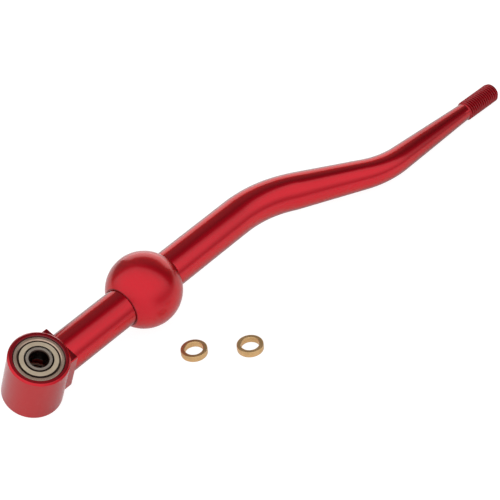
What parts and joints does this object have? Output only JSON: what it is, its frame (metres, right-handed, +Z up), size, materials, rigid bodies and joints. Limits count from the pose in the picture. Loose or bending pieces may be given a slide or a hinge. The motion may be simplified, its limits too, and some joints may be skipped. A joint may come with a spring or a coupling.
{
  "type": "gear shift lever",
  "caption": "Double-bend gear shift lever with a pivot ball, a housing with ball bearings for a cross bolt, a threaded end for a knob, and loose spacer rings.",
  "frame": {"origin": "centre of the pivot ball, which the lever swings about", "axes": "+Z up, with the lever lying on a flat surface at Z = -17.5 mm on its ball, its housing's lower rim and the end of its thread; +X along the lower rod, from the bearing housing towards the threaded end"},
  "size_m": [0.3095, 0.0746, 0.0351],
  "materials": {
    "red_rod": "glossy red anodised",
    "red_ball": "satin red anodised",
    "red_housing": "satin red anodised",
    "bearing_steel": "ground and polished",
    "cage_steel": "pressed sheet",
    "shield_steel": "satin, pale champagne",
    "bronze": "turned bronze, satin"
  },
  "bodies": {
    "lever": {"shift_rod": "red_rod", "pivot_ball": "red_ball", "bearing_housing": "red_housing", "upper_outer_ring": "bearing_steel", "upper_outer_shield": "shield_steel", "upper_inner_shield": "shield_steel", "lower_outer_ring": "bearing_steel", "lower_outer_shield": "shield_steel", "lower_inner_shield": "shield_steel"},
    "upper_inner": {"upper_inner_ring": "bearing_steel"},
    "upper_cage": {"upper_bearing_balls": "bearing_steel", "upper_cage_outer_half": "cage_steel", "upper_cage_inner_half": "cage_steel", "upper_cage_rivets": "cage_steel"},
    "lower_inner": {"lower_inner_ring": "bearing_steel"},
    "lower_cage": {"lower_bearing_balls": "bearing_steel", "lower_cage_outer_half": "cage_steel", "lower_cage_inner_half": "cage_steel", "lower_cage_rivets": "cage_steel"},
    "left_spacer": {"left_spacer": "bronze"},
    "right_spacer": {"right_spacer": "bronze"}
  },
  "joints": [
    {"name": "upper_inner_spin", "type": "hinge", "parent": "lever", "child": "upper_inner", "pos_m": [-0.068, 0, 0.00004], "axis": [0.0006, -0.3794, 0.9252], "continuous": true},
    {"name": "upper_cage_spin", "type": "hinge", "parent": "lever", "child": "upper_cage", "pos_m": [-0.068, 0, 0.00004], "axis": [0.0006, -0.3794, 0.9252], "continuous": true},
    {"name": "lower_inner_spin", "type": "hinge", "parent": "lever", "child": "lower_inner", "pos_m": [-0.068, 0, 0.00004], "axis": [0.0006, -0.3794, 0.9252], "continuous": true},
    {"name": "lower_cage_spin", "type": "hinge", "parent": "lever", "child": "lower_cage", "pos_m": [-0.068, 0, 0.00004], "axis": [0.0006, -0.3794, 0.9252], "continuous": true},
    {"name": "left_spacer_lift", "type": "slide", "parent": "lever", "child": "left_spacer", "axis": [0, 0, 1], "range_m": [0, 0.05]},
    {"name": "right_spacer_lift", "type": "slide", "parent": "lever", "child": "right_spacer", "axis": [0, 0, 1], "range_m": [0, 0.05]}
  ],
  "couplings": [
    {"joint": "upper_cage_spin", "follows": "upper_inner_spin", "ratio": 0.3677},
    {"joint": "lower_cage_spin", "follows": "lower_inner_spin", "ratio": 0.3677}
  ]
}
